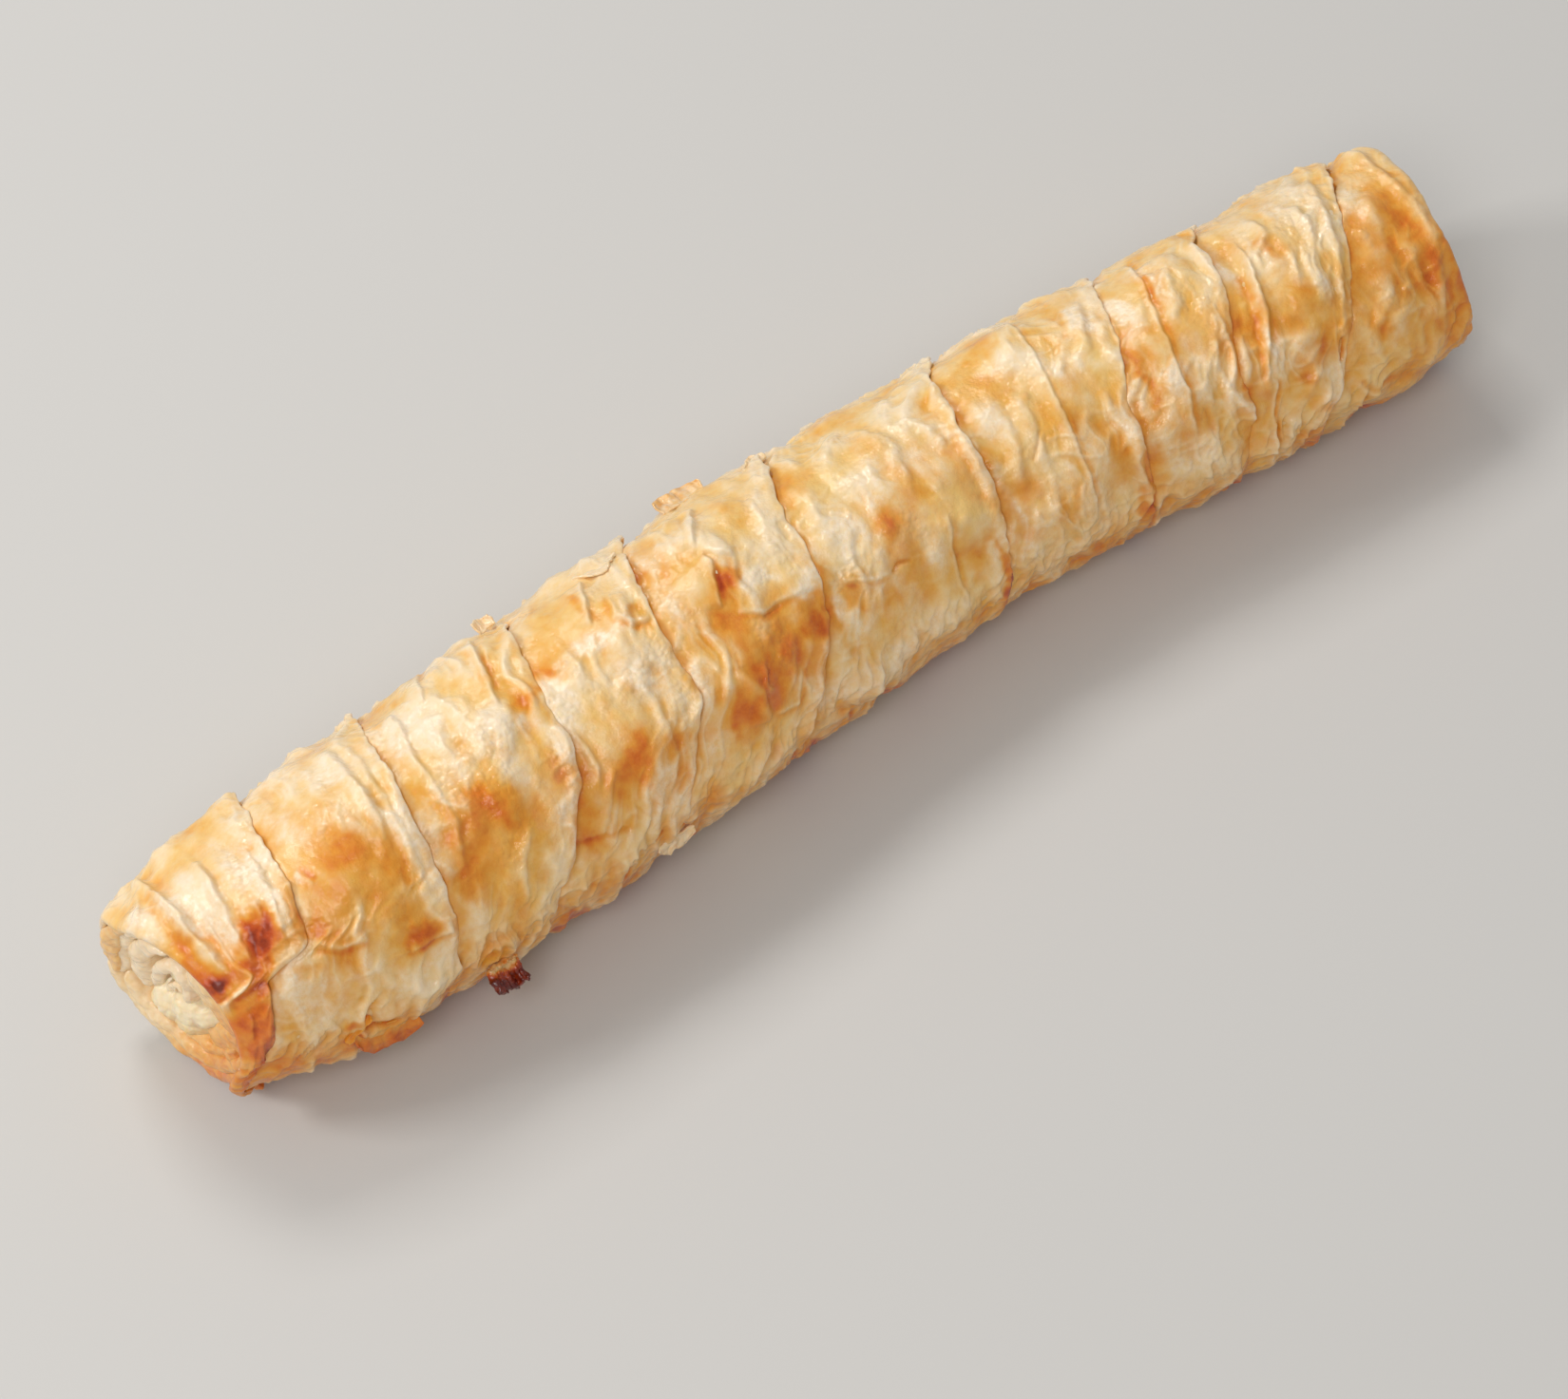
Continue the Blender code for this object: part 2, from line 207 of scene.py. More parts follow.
# Wet, bubbly dough that glints
WET = {
    1: [(22, -4, 4, 20, 1), (20, 14, 4, 12, 0.9), (11, 6, 3, 18, 0.6), (3, -25, 2.5, 14, 0.7)],
    2: [(44, -18, 5, 12, 0.7), (38, 10, 5, 12, 0.4), (48, 17, 2.4, 10, 0.9)],
    3: [(57, -10, 4, 12, 0.7), (60, 22, 8, 12, 1), (65, 5, 3, 6, 0.8), (78, 30, 2, 8, 0.9),
        (57, -25, 3, 8, 0.7)],
    4: [(83, 18, 3, 10, 0.9), (97, 24, 8, 10, 0.8), (104, 22, 2.5, 12, 0.9), (88, 2, 3, 5, 0.5)],
    5: [(111, 8, 3, 14, 1), (127, 20, 4, 6, 0.9), (125, 34, 3, 4, 0.6), (119, 56, 1.5, 8, 0.8)],
    6: [(157, 32, 2, 5, 0.9), (164, -5, 2.5, 12, 0.6), (151, 5, 4, 10, 0.4), (146, 15, 3, 8, 0.5)],
    7: [(176.5, 34, 1.6, 20, 0.9), (183, 8, 4, 10, 0.6), (208, -12, 1.5, 12, 0.9), (190, 14, 4, 8, 0.5),
        (187, 32, 3, 8, 0.5)],
    8: [(213, 34, 2.5, 6, 1), (214, -10, 2, 16, 0.7)],
    9: [(249, 34, 3, 14, 1), (236, 5, 3, 16, 0.6), (233.5, 46, 1.4, 12, 0.9), (243, -12, 4, 8, 0.5),
        (253, 2, 2, 10, 0.7)],
    10: [(263, -8, 3.5, 12, 0.7), (269, -10, 3, 10, 0.4)],
}
# Where bubbles under the skin make it milky
MILKY = {
    1: [(12, 0, 3.6, 24, 1), (14, 20, 2.4, 12, 0.4), (21, -8, 5, 16, 0.45), (3, -15, 3, 12, 0.3)],
    2: [(45, -16, 5, 10, 0.8), (29, 16, 1, 5, 0.9), (47.5, 18, 2.5, 10, 0.3), (22, 70, 5, 14, 0.35),
        (42, 76, 9, 8, 0.2), (32, -10, 4, 12, 0.4)],
    3: [(72.5, 6, 2.6, 7, 0.8), (60, -12, 5, 12, 0.5), (76, 14, 3, 5, 0.5), (71, 30, 3, 12, 0.3)],
    4: [(84, 16, 3, 14, 0.8), (95, 2, 6, 5, 0.6), (98, 22, 6, 12, 0.25), (92, 78, 8, 10, 0.3)],
    5: [(127, 20, 4.5, 5, 0.9), (133.5, 32, 4, 4, 0.8), (112, 10, 3, 12, 0.5), (118, -15, 6, 10, 0.3),
        (119, 57, 1, 8, 0.6)],
    6: [(138.6, 50, 1.5, 24, 0.5), (145, 22, 7, 14, 0.5), (165, 8, 4, 12, 0.4), (140, 86, 12, 8, 0.3)],
    7: [(182, 20, 4, 12, 0.4), (198, 8, 3.5, 12, 0.35), (208, -12, 1.4, 12, 0.9),
        (176.5, 60, 1.2, 24, 0.5), (190, -8, 5, 8, 0.3)],
    8: [(214.6, -12, 1.6, 20, 0.8), (214, 34, 2.4, 6, 0.5), (220, 30, 3, 12, 0.3)],
    9: [(235, 0, 1.6, 16, 0.7), (249, 34, 3, 12, 0.1), (251, -20, 4, 10, 0.2), (244, -22, 3, 10, 0.2),
        (233.5, 45, 1.2, 10, 0.5)],
    10: [(264, -8, 4, 12, 0.4), (262, 4, 3, 6, 0.3)],
}
# Where butter and cheese show through as yellow
BUTTERY = {
    2: [(52, 60, 5, 12, 0.5)],
    3: [(74, 34, 4, 12, 0.5)],
    4: [(103, 58, 3, 16, 0.8), (86, 20, 5, 12, 0.5)],
    5: [(131, 20, 6, 10, 0.8)],
    6: [(144, 28, 7, 16, 0.8), (168.5, 45, 5, 18, 1), (150, -4, 6, 12, 0.5)],
    7: [(204, 10, 3, 16, 0.6), (184, 40, 4, 18, 0.4)],
    8: [(224, 24, 3, 18, 0.5)],
    9: [(251.5, 27, 3, 14, 0.7)],
}


def smooth(x, low, high):
    t = np.clip((x - low) / (high - low), 0, 1)
    return t * t * (3 - 2 * t)


def bell(x, middle, width):
    return np.exp(-(((x - middle) / width) ** 2))


def through(values, x):
    """A smooth curve through the values, which lie at x = 0, 1, 2 and so on."""
    values = np.array(values, float)
    slopes = np.gradient(values)
    i = np.clip(x.astype(int), 0, len(values) - 2)
    t = x - i
    return (
        (2 * t**3 - 3 * t**2 + 1) * values[i]
        + (t**3 - 2 * t**2 + t) * slopes[i]
        + (3 * t**2 - 2 * t**3) * values[i + 1]
        + (t**3 - t**2) * slopes[i + 1]
    )


def end_loss(s):
    """How much smaller the radius is near the ends."""
    near = NEAR_LOSS * np.clip(1 - s / NEAR_ROUNDING, 0, 1.2) ** 2
    return near + FAR_LOSS * np.clip(1 - (LENGTH - s) / FAR_ROUNDING, 0, 1.2) ** 2


def radius(s):
    return NEAR_RADIUS + (FAR_RADIUS - NEAR_RADIUS) * smooth(s, TAPER_FROM, TAPER_TO) - end_loss(s)


def centre(s):
    """The centre line's y, and its height above the floor."""
    y = through(BOW, np.clip(s, 0, LENGTH) / LENGTH * (len(BOW) - 1))
    return y, SINK * radius(s) + END_LIFT * end_loss(s)


def on_the_roll(s, angle, lift):
    """Points in metres, each standing lift above the plain body. The floor presses them flat."""
    a = np.radians(angle)
    y, z = centre(s)
    r = radius(s) + lift
    pressed = 0.35 * np.clip(3.0 - lift, 0, None)
    height = np.maximum(z + r * np.cos(a), pressed)
    return np.stack([s * MM + roll_low.x, (y - r * np.sin(a)) * MM, height * MM], -1)


def make_noise(seed):
    """A lattice noise of its own: points in any unit give values of about -1 to 1."""
    rng = np.random.default_rng(seed)
    order = np.tile(rng.permutation(256), 3)
    slopes = rng.normal(size=(256, 3))
    slopes /= np.linalg.norm(slopes, axis=1)[:, None]

    def noise(x, y, z):
        p = np.stack([np.ravel(x), np.ravel(y), np.ravel(z)], -1)
        cell = np.floor(p).astype(int)
        f = p - cell
        cell &= 255
        ease = f * f * f * (f * (f * 6 - 15) + 10)
        total = np.zeros(len(p))
        for dx in (0, 1):
            for dy in (0, 1):
                for dz in (0, 1):
                    row = order[order[order[cell[:, 0] + dx] + cell[:, 1] + dy] + cell[:, 2] + dz]
                    away = f - np.array([dx, dy, dz])
                    weight = np.prod(np.abs(1 - np.array([dx, dy, dz]) - ease), axis=1)
                    total += weight * (slopes[row] * away).sum(1)
        return 1.8 * total.reshape(np.shape(x))

    return noise


lumps, creases, browns, edge_waves = (make_noise(seed) for seed in (11, 23, 37, 41))


def round_noise(noise, s, angle, size, stretch=1.0, salt=0.0):
    """Noise on the roll with features of that size in mm, stretch times longer round the roll."""
    a = np.radians(angle)
    around = MEAN_RADIUS / (size * stretch)
    return noise(s / size + salt, around * np.cos(a) + salt, around * np.sin(a) - salt)


def opening(angle):
    """Where the rim of the near end lies."""
    angles, along = np.array(OPENING, float).T
    turned = (np.asarray(angle, float) + 180) % 360 - 180
    return sum(np.interp(turned + nudge, angles, along) for nudge in (-8, 0, 8)) / 3


def edge(turn, angle):
    """Where the free edge of that turn lies. Turn 0 is the opening and the last is the far end."""
    angle = np.asarray(angle, float)
    if turn <= 0:
        return opening(angle)
    if turn >= TURNS:
        reach = FAR_REACH * bell(angle, FAR_REACH_AT, 50)
        return LENGTH - 0.6 + reach + 0.5 * round_noise(edge_waves, 270.0 + 0 * angle, angle, 9.0)
    # all the free edges are one helix, which would go on past both ends
    knots = [(-60 - 360 * TURNS, LENGTH + 12), (95 - 360 * TURNS, LENGTH + 3)]
    for number in range(len(EDGES), 0, -1):
        knots += [(a - 360 * number, s) for a, s in EDGES[number - 1]]
    knots += [(-60, -3), (90, -10)]
    wound, along = np.array(knots, float).T
    total = 0.0
    for nudge in (-2, -1, 0, 1, 2):
        total = total + np.interp(angle + nudge - 360 * turn, wound, along) / 5
    wave = 0.6 * round_noise(edge_waves, total, angle, 6.0, salt=turn)
    wave += 0.35 * round_noise(edge_waves, total, angle, 2.4, salt=turn + 50)
    # no edge comes right up to either rim
    return np.clip(total + wave, opening(angle) + 1.6, LENGTH - 1.5)


AWAY = (105, 290)  # the angles of the side that faces away


def own_lines(table, turn, seed, count, height, width):
    """The turn's lines in that table, and some more at random on the side that faces away."""
    lines = list(table.get(turn, []))
    rng = np.random.default_rng(seed + turn)
    low, high = edge(turn - 1, 180.0), edge(turn, 180.0)
    for _ in range(count):
        at_angle, at_s = rng.uniform(*AWAY), rng.uniform(low, high)
        reach, lean = rng.uniform(14, 45), rng.uniform(-3, 0)
        middle = (at_angle, at_s + rng.uniform(-1, 1))
        line = [(at_angle - reach, at_s - lean), middle, (at_angle + reach, at_s + lean)]
        lines.append((line, height * rng.uniform(0.5, 1.2), width * rng.uniform(0.7, 1.4)))
    return lines


def beside(line, s, angle, reach):
    """For points near a line of (angle, s) points: which they are, their distance in mm, with a
    sign for the side, and how far along the line they lie, from 0 to 1."""
    knots = np.array([(a * ARC, place) for a, place in line])
    x, y = angle * ARC, s
    near = np.ones(s.shape, bool)
    for values, column in ((x, 0), (y, 1)):
        near &= (values > knots[:, column].min() - reach) & (values < knots[:, column].max() + reach)
    x, y = x[near], y[near]
    best = np.full(x.shape, 1e9)
    side, along = np.ones(x.shape), np.zeros(x.shape)
    lengths = np.hypot(*np.diff(knots, axis=0).T)
    starts = np.concatenate([[0], np.cumsum(lengths)])
    for (x0, y0), (x1, y1), length, start in zip(knots, knots[1:], lengths, starts):
        dx, dy = (x1 - x0) / length, (y1 - y0) / length
        t = np.clip((x - x0) * dx + (y - y0) * dy, 0, length)
        away = np.hypot(x - x0 - t * dx, y - y0 - t * dy)
        closer = away < best
        best = np.where(closer, away, best)
        side = np.where(closer, np.where(dx * (y - y0) - dy * (x - x0) > 0, 1.0, -1.0), side)
        along = np.where(closer, (start + t) / starts[-1], along)
    return near, best * side, along


def line_relief(turn, s, angle):
    """Height from torn edges, soft folds and slits, how much of it is crest, and how much painted shadow
    lies just past each torn edge and in each slit.
    """
    waver = 0.5 * round_noise(edge_waves, s, angle, 5.0)
    s = s + waver + 0.22 * round_noise(edge_waves, s, angle, 1.9, salt=8.0)
    height, crest, cleft_shadow = np.zeros((3, *s.shape))
    wrapped = np.where(angle < -75, angle + 360, angle)
    for line, tall, wide in own_lines(TEARS, turn, 700, 3, 0.7, 4.0):
        near, away, along = beside(line, s, wrapped, 3.5 * wide)
        fade = smooth(along, 0, 0.12) * (1 - smooth(along, 0.88, 1))
        shape = np.where(away < 0, np.exp(away / wide), 1 - smooth(away, 0, 0.4)) * fade
        height[near] += tall * shape
        crest[near] = np.maximum(crest[near], bell(away, -0.3, 0.4) * fade)
        # painted shadow: a honey-brown band just past the drop of a torn edge
        cleft_shadow[near] = np.maximum(cleft_shadow[near], 0.45 * bell(away, 0.8, 0.6) * fade)
    for line, tall, wide in own_lines(CRESTS, turn, 800, 8, 0.6, 1.0):
        near, away, along = beside(line, s, wrapped, 3.5 * wide)
        fade = smooth(along, 0, 0.25) * (1 - smooth(along, 0.75, 1))
        shape = bell(away, 0, np.where(away < 0, 1.3, 0.75) * wide) * fade
        height[near] += 1.15 * tall * shape
        crest[near] = np.maximum(crest[near], shape**2)
    for line, tall, wide in own_lines(SLITS, turn, 900, 4, 0.4, 0.8):
        near, away, along = beside(line, s, wrapped, 3 * wide)
        fade = smooth(along, 0, 0.15) * (1 - smooth(along, 0.85, 1))
        shape = bell(away, 0, wide) * fade
        height[near] -= tall * shape
        # painted shade: the slit's groove is browned
        cleft_shadow[near] = np.maximum(cleft_shadow[near], shape * min(1.0, tall))
    return height, crest, cleft_shadow


def places(table, turn, s, angle):
    """The sum of that table's round places on one turn, each full in its middle."""
    total = np.zeros(s.shape)
    for at_s, at_angle, half_s, half_angle, amount in table.get(turn, []):
        away = ((s - at_s) / half_s) ** 2 + ((angle - at_angle) / half_angle) ** 2
        total += amount * np.exp(-1.4 * away**1.2)
    return total


BLISTER_RADII, BLISTER_SHARES = [0.8, 1.2, 1.7, 2.6, 4.2], [0.32, 0.35, 0.22, 0.09, 0.02]
BLISTERS_PER_MM = 9  # of the roll's length, all the way round


def blister_height(turn, s, angle):
    """Bubbles in the dough: many the size of a lentil or less, a few the size of a bean."""
    rng = np.random.default_rng(500 + turn)
    low, high = edge(turn - 1, 20.0), edge(turn, 20.0)
    total = np.zeros(s.shape)
    for _ in range(int(BLISTERS_PER_MM * (high - low))):
        at_s, at_angle = rng.uniform(low - 8, high + 12), rng.uniform(-180, 180)
        size = rng.choice(BLISTER_RADII, p=BLISTER_SHARES)
        longer = rng.uniform(0.9, 1.8)
        height = min(size, 2.2) * rng.uniform(0.08, 0.22)
        near = np.abs(s - at_s) < size
        if not near.any():
            continue
        arc = (angle[near] - at_angle) * ARC
        away = ((s[near] - at_s) / size) ** 2 + (arc / (size * longer)) ** 2
        total[near] = np.maximum(total[near], height * np.clip(1 - away, 0, None) ** 1.2)
    return total


def folded(noise_values, width):
    """Turns lattice noise into round crests of height 1 where it crosses zero."""
    return 0.5 + 0.5 * np.cos(math.pi * np.clip(np.abs(noise_values) / width, 0, 1))


CROWN = 8  # the angle that faced the oven's heat
PLAIN_BROWN = 0.16


def turn_surface(turn, s, angle, first, last, lean):
    """For each point: the sheet's height over the plain body, and its baking, milk, butter and wet.
    lean is the slope of the free edge there, in mm along the roll for each mm round it."""

    def on_turn(noise, where, size, stretch, salt):
        return round_noise(noise, *where, size, stretch, turn + salt)

    plain = s, angle
    across = np.clip((s - first) / (last - first), 0, 1)
    shown = smooth(s - first, -2.0, 0.8)
    from_edge = (last - s) / np.hypot(1, lean)
    stands = 1 / (1 + 0.3 * lean**2)
    low_down = smooth(np.abs(angle - CROWN), 48, 80)
    front = low_down * (1 - smooth(angle, 92, 108))
    behind = smooth(np.abs(angle - CROWN), 95, 120)

    # the sheet swells between its edges, and steps up at its free edge unless it is stuck down
    stuck = smooth(on_turn(edge_waves, (last, angle), 16.0, 1.0, 33), -0.35, 0.35)
    height = (STEP_UP - 0.8 * stuck) * (1 - 0.35 * low_down) * across**1.3
    height += PILLOW * np.sin(math.pi * across**1.15)
    height = np.where(s < first, -0.25 + 0.1 * (s - first), height)
    broad = 0.8 * round_noise(lumps, s, angle, 15.0) + 0.45 * round_noise(lumps, s, angle, 7.0, 1.3)

    # the dough was pulled as it was wound, so its creases run along the strip
    swirled = (
        s - (first + last) / 2 + 2.4 * on_turn(creases, plain, 8.0, 1.0, 3),
        angle + 6.0 * on_turn(creases, plain, 8.0, 1.0, 43),
    )
    long_folds = folded(on_turn(creases, swirled, 6.5, 4.0, 2 * turn), 0.5)
    fine_folds = folded(on_turn(creases, swirled, 2.4, 4.0, 80), 0.36)
    cross_folds = folded(on_turn(creases, swirled, 5.0, 0.9, 17), 0.3)
    crumpled = smooth(on_turn(lumps, plain, 12.0, 1.0, 7), -0.3, 0.35)
    crumpled = np.clip(crumpled + 0.6 * low_down + 1 - smooth(from_edge, 1, 6), 0.15, 1)
    deep = 1 + 0.8 * front + 0.5 * smooth(s, 200, 225) * smooth(angle, -20, 10)
    if turn == TURNS:
        deep -= 0.5
    own = 0.50 * long_folds + (0.10 + 0.16 * front) * fine_folds + 0.16 * cross_folds
    own *= crumpled * deep

    # steam left it bubbly, most of all where it is wet
    wet = places(WET, turn, s, angle)
    wet += 0.7 * smooth(on_turn(browns, plain, 6.5, 1.6, 47), 0.2, 0.6) * (1 - 0.75 * low_down)
    wet = np.clip(wet, 0, 1)
    pebbles = 0.36 * on_turn(lumps, plain, 4.6, 1.5, 50)
    pebbles += (0.10 + 0.10 * low_down) * on_turn(lumps, plain, 2.2, 1.2, 0)
    pebbles += (0.02 + 0.05 * wet + 0.10 * low_down) * on_turn(lumps, plain, 1.1, 1.0, 30)
    blisters = blister_height(turn, s, angle) * (1 - 0.6 * low_down) * (0.7 + 0.8 * wet)
    lines, crest, cleft_shadow = line_relief(turn, s, angle)
    own += pebbles + blisters + lines + places(BULGES, turn, s, angle) - 0.2

    # the free edge is folded back on itself, and stands up here and there
    hem = 0.36 * bell(from_edge, 1.0, 0.9)
    hem -= 0.20 * bell(from_edge, 3.1, 1.1)
    curl = 0.6 * np.clip(on_turn(edge_waves, (last, angle), 8.0, 1.0, 20), -0.2, 1)
    own += stands * (1 - 0.85 * stuck) * (hem + curl * (1 - smooth(from_edge, 0, 4)) ** 2)
    height = height + broad + own * shown

    # it browned in wavering patches and on what stood out; it is browner in the clefts, in the valleys
    # between folds, past the edge it comes out from under and towards the front and foot, which is painted
    # shade
    warped = (
        s + 1.8 * on_turn(browns, plain, 6.0, 1.0, 0) + 0.8 * on_turn(browns, plain, 2.0, 1.0, 5),
        angle + 5.0 * on_turn(browns, plain, 6.0, 1.0, 60) + 1.6 * on_turn(browns, plain, 2.2, 1.0, 65),
    )
    calm = 0.4 if turn == TURNS else 1.0
    brown = PLAIN_BROWN + 0.09 * calm * on_turn(browns, warped, 12.0, 1.4, turn)
    brown += 0.08 * calm * smooth(on_turn(browns, warped, 6.0, 1.6, 9), -0.2, 0.6)
    brown += 0.05 * on_turn(browns, swirled, 2.4, 3.0, 19)
    brown += places(BROWNED, turn, *warped) * (1 + 0.16 * on_turn(browns, warped, 3.2, 1.4, 71))
    brown += 0.30 * behind * smooth(on_turn(browns, warped, 10.0, 1.5, 77), 0.0, 0.5)
    folds = crumpled * np.clip(0.7 * long_folds + 0.3 * fine_folds + 0.3 * cross_folds, 0, 1)
    # blisters brown more; paler pebble tops and crests are painted highlight, and browner slits, torn-edge
    # drops and valleys between the folds are painted shade
    brown += 0.14 * blisters - 0.25 * pebbles - 0.06 * crest + 0.30 * cleft_shadow
    brown += 0.18 * (1 - folds) * (1 - 0.3 * low_down)
    # painted shade: paler high at the back, browner over the front and again at the foot, where less light
    # falls
    brown += 0.04 * smooth(angle, -30, 0) + 0.11 * smooth(angle, -5, 50) + 0.12 * smooth(angle, 76, 100)
    # painted shadow: browner where the turn comes out from under the free edge of the one before
    if turn > 1:
        brown += 0.18 * np.exp(-np.abs(s - first) / 1.8) * (1 - 0.5 * low_down)
    brown += 0.16 * stands * np.exp(-from_edge) * np.maximum(smooth(angle, 10, 60), behind)

    # its folds, crests and bubbles stayed milky where they didn't brown; the milk on folds, crests and
    # pebble tops is partly painted highlight, and it thins towards the front and foot as painted shade
    clouds = smooth(on_turn(browns, warped, 7.0, 1.8, 90), 0.0, 0.55)
    grain = on_turn(browns, plain, 1.8, 1.3, 4)
    milk = 0.45 * calm * folds + 0.20 * crest + 0.20 * calm * clouds + (0.06 + 0.10 * low_down) * grain
    # painted highlight: pebble tops milkier, except low down where less light falls
    milk += 0.30 * smooth(pebbles, 0.0, 0.5) * (1 - low_down)
    milk += 0.2 * stands * bell(from_edge, 0.3, 0.5)
    milk += 0.2 * wet * (1 - smooth(brown, 0.3, 0.55))
    milk += 1.1 * places(MILKY, turn, *warped) * (1 + 0.5 * grain)
    # painted shade: less milky towards the front and the foot
    milk = np.clip(milk, 0, 0.8) * (1 - 0.9 * smooth(brown, 0.42, 0.66)) * (1 - 0.15 * low_down)
    return height, brown, milk, places(BUTTERY, turn, *warped), wet


def take(name):
    """Names the piece that was just added."""
    piece = bpy.context.object
    piece.name = name
    piece.data.name = name
    return piece


def set_points(piece, points):
    piece.data.vertices.foreach_set("co", points.astype(np.float32).ravel())
    piece.data.update()


def points_of(piece, what="co"):
    values = np.empty(len(piece.data.vertices) * 3, np.float32)
    piece.data.vertices.foreach_get(what, values)
    return values.reshape(-1, 3).astype(float)


def add_attributes(piece, **values):
    """Stores a number at each point, which the materials read by name."""
    for name, value in values.items():
        layer = piece.data.attributes.new(name, "FLOAT", "POINT")
        layer.data.foreach_set("value", (value + np.zeros(len(layer.data))).astype(np.float32))


def add_grid(name, rows, columns):
    """A new grid, with the row and the share of the columns at each of its points."""
    bpy.ops.object.select_all(action="DESELECT")
    bpy.ops.mesh.primitive_grid_add(x_subdivisions=rows, y_subdivisions=columns, size=1)
    piece = take(name)
    grid = points_of(piece)
    return piece, np.round((grid[:, 0] + 0.5) * rows).astype(int), grid[:, 1] + 0.5


def face_outwards():
    """Turns the faces of the piece in edit mode outwards, and shades it smooth."""
    bpy.ops.mesh.select_all(action="SELECT")
    bpy.ops.mesh.normals_make_consistent(inside=False)
    bpy.ops.object.mode_set(mode="OBJECT")
    bpy.ops.object.shade_smooth()


def close_up():
    """Merges the meeting sides of the bent grid, and fills its open ends."""
    bpy.ops.object.mode_set(mode="EDIT")
    bpy.ops.mesh.select_all(action="SELECT")
    bpy.ops.mesh.remove_doubles(threshold=0.005 * MM)
    bpy.ops.mesh.select_all(action="DESELECT")
    bpy.ops.mesh.select_non_manifold(extend=False)
    bpy.ops.mesh.edge_face_add()
    face_outwards()


ROW_STEP, LEAST_WIDTH = 0.3, 1.2  # mm between a turn's points along the roll, and its least width
LIP_ROWS, UNDER_ROWS, COLUMNS = 5, 12, 440


def wind_turn(turn):
    """One turn of the strip: a grid wrapped into a flat closed tube, with a round lip each side."""
    top_rows = int(max(60, (edge(turn, 0.0) - edge(turn - 1, 0.0) + TUCK) / ROW_STEP))
    rows = top_rows + 2 * LIP_ROWS + UNDER_ROWS
    piece, row, share_round = add_grid(f"yufka_turn_{turn:02d}", rows, COLUMNS)
    row = row % rows
    angle = share_round * 360.0 - 180.0
    column = np.round(share_round * COLUMNS).astype(int)
    around = np.arange(COLUMNS + 1) / COLUMNS * 360.0 - 180.0
    first, last = edge(turn - 1, around)[column], edge(turn, around)[column]
    lip_out = (HEM if turn == TURNS else LEAF) / 2
    lip_in = (HEM if turn == 1 else LEAF) / 2
    start = first if turn == 1 else np.maximum(first - TUCK, opening(angle) + 1.0)
    low = np.minimum(start, last - LEAST_WIDTH) + lip_in
    high = np.maximum(last - lip_out, low + 0.1)

    # rows go over the top, round the free edge's lip, back underneath and round the other lip
    past_lip = row - top_rows - LIP_ROWS
    past_under = past_lip - UNDER_ROWS
    on_lip = (row > top_rows) & (past_lip < 0)
    under = (past_lip >= 0) & (past_under <= 0)
    on_start = past_under > 0
    shares = [row / top_rows, 1.0, 1 - past_lip / UNDER_ROWS]
    share = np.select([row <= top_rows, on_lip, under], shares, 0.0)
    s = low + (high - low) * share
    lean = (np.gradient(edge(turn, around), around) / ARC)[column]
    height, brown, milk, butter, wet = turn_surface(turn, s, angle, first, last, lean)
    half = lip_in + (lip_out - lip_in) * share
    height -= 2 * half * under
    bend = np.select([on_lip, on_start], [row - top_rows, LIP_ROWS - past_under], 0) * math.pi / LIP_ROWS
    height -= half * (1 - np.cos(bend))
    s += np.where(on_start, -half, half) * np.sin(bend)
    set_points(piece, on_the_roll(s, angle, height))
    add_attributes(piece, baking=brown, milk=milk, butter=butter, wet=wet)
    close_up()
    return piece


def colour(code):
    """An sRGB hex code as linear RGBA."""
    parts = [int(code[i : i + 2], 16) / 255 for i in (1, 3, 5)]
    return [p / 12.92 if p <= 0.04045 else ((p + 0.055) / 1.055) ** 2.4 for p in parts] + [1.0]


def add_node(tree, kind, settings=None, values=None, links=None):
    """Adds a node, sets its properties and its sockets, and links its inputs to other nodes."""
    node = tree.nodes.new("ShaderNode" + kind)
    for key, value in (settings or {}).items():
        setattr(node, key, value)
    for key, value in (values or {}).items():
        node.inputs[key].default_value = value
    for key, (source, output) in (links or {}).items():
        tree.links.new(source.outputs[output], node.inputs[key])
    return node


def new_material(name):
    material = bpy.data.materials.new(name)
    material.use_nodes = True
    tree = material.node_tree
    return material, tree, tree.nodes["Principled BSDF"]


def set_ramp(node, stops):
    ramp = node.color_ramp
    while len(ramp.elements) > 1:
        ramp.elements.remove(ramp.elements[-1])
    ramp.elements[0].position, ramp.elements[0].color = stops[0][0], colour(stops[0][1])
    for place, code in stops[1:]:
        ramp.elements.new(place).color = colour(code)


def set_shader(shader, **values):
    """Sets the shader's sockets: Coat_Weight=0.5 sets Coat Weight."""
    for name, value in values.items():
        shader.inputs[name.replace("_", " ")].default_value = value


def per_metre(size_mm):
    """A noise texture's scale for features of that size."""
    return 1 / (size_mm * MM)


# Baked yufka: flour-and-water dough rolled to paper, oiled and blistered. Wax-like and a little
# see-through where pale, toffee brown where the oven caught it, with a thin gloss of oil.
baked_yufka, tree, shader = new_material("baked_oiled_yufka")
where = add_node(tree, "TexCoord")
baking, butter, milk, wet = [
    add_node(tree, "Attribute", {"attribute_name": name})
    for name in ("baking", "butter", "milk", "wet")
]
